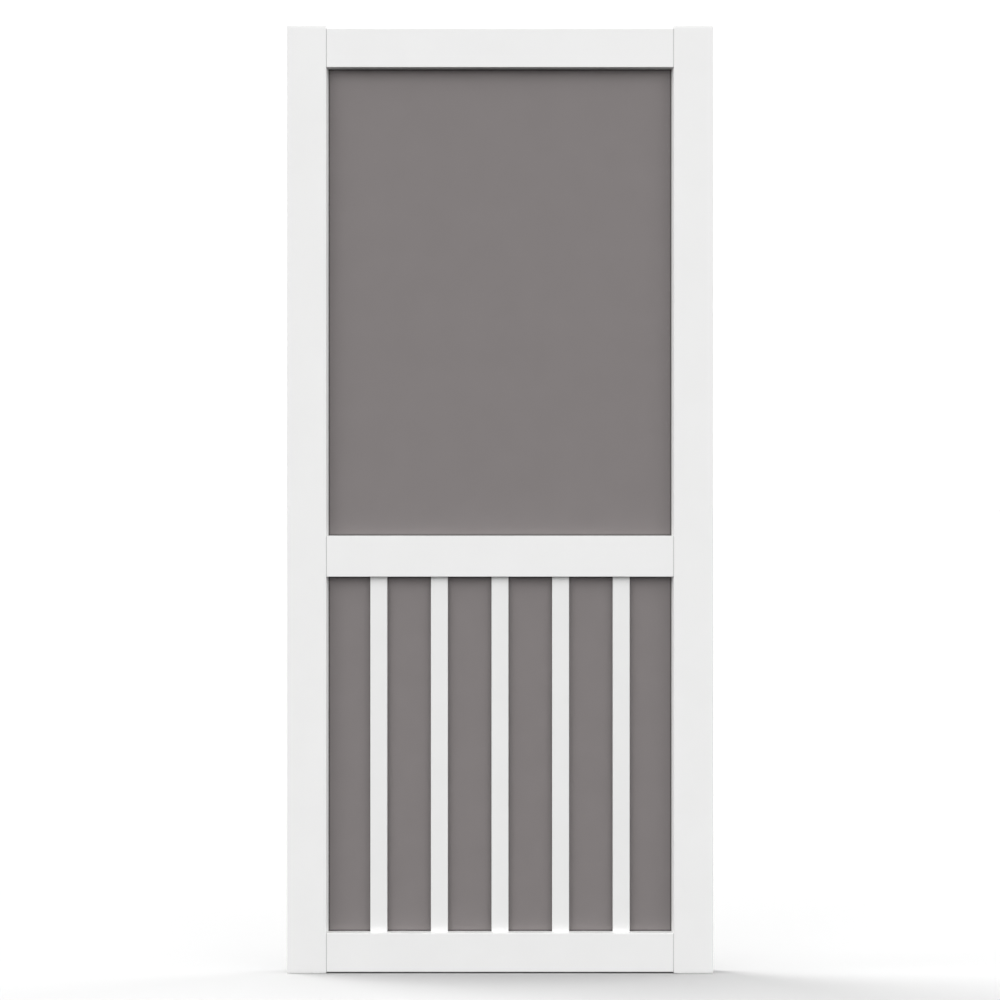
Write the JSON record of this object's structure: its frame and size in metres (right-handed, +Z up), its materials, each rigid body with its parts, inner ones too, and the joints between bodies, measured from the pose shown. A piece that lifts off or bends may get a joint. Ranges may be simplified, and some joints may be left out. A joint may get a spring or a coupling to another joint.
{
  "type": "vinyl screen door",
  "caption": "Vinyl screen door leaf with hollow white stiles and rails, insect screens above and below a middle rail, and flat upright bars across the lower opening.",
  "frame": {"origin": "centre of the hinge stile's outer edge face, half way up and half way through the leaf", "axes": "+X across the leaf from the hinge edge to the latch edge, +Y from the front face to the back face, +Z up"},
  "size_m": [0.9144, 0.0318, 2.032],
  "materials": {
    "white_vinyl": "satin white extruded vinyl",
    "bar_vinyl": "satin white extruded vinyl",
    "cap_plastic": "satin white moulded plastic",
    "insect_screen": "vinyl-coated glass fibre yarn, woven",
    "spline_rubber": "matt ribbed cord"
  },
  "bodies": {
    "root": {"hinge_stile": "white_vinyl", "latch_stile": "white_vinyl", "top_rail": "white_vinyl", "middle_rail": "white_vinyl", "bottom_rail": "white_vinyl", "bar_1": "bar_vinyl", "bar_2": "bar_vinyl", "bar_3": "bar_vinyl", "bar_4": "bar_vinyl", "bar_5": "bar_vinyl", "hinge_stile_top_cap": "cap_plastic", "hinge_stile_bottom_cap": "cap_plastic", "latch_stile_top_cap": "cap_plastic", "latch_stile_bottom_cap": "cap_plastic", "upper_screen": "insect_screen", "lower_screen": "insect_screen", "upper_spline_hinge_side": "spline_rubber", "upper_spline_latch_side": "spline_rubber", "upper_spline_top": "spline_rubber", "upper_spline_bottom": "spline_rubber", "lower_spline_hinge_side": "spline_rubber", "lower_spline_latch_side": "spline_rubber", "lower_spline_top": "spline_rubber", "lower_spline_bottom": "spline_rubber"}
  },
  "joints": []
}
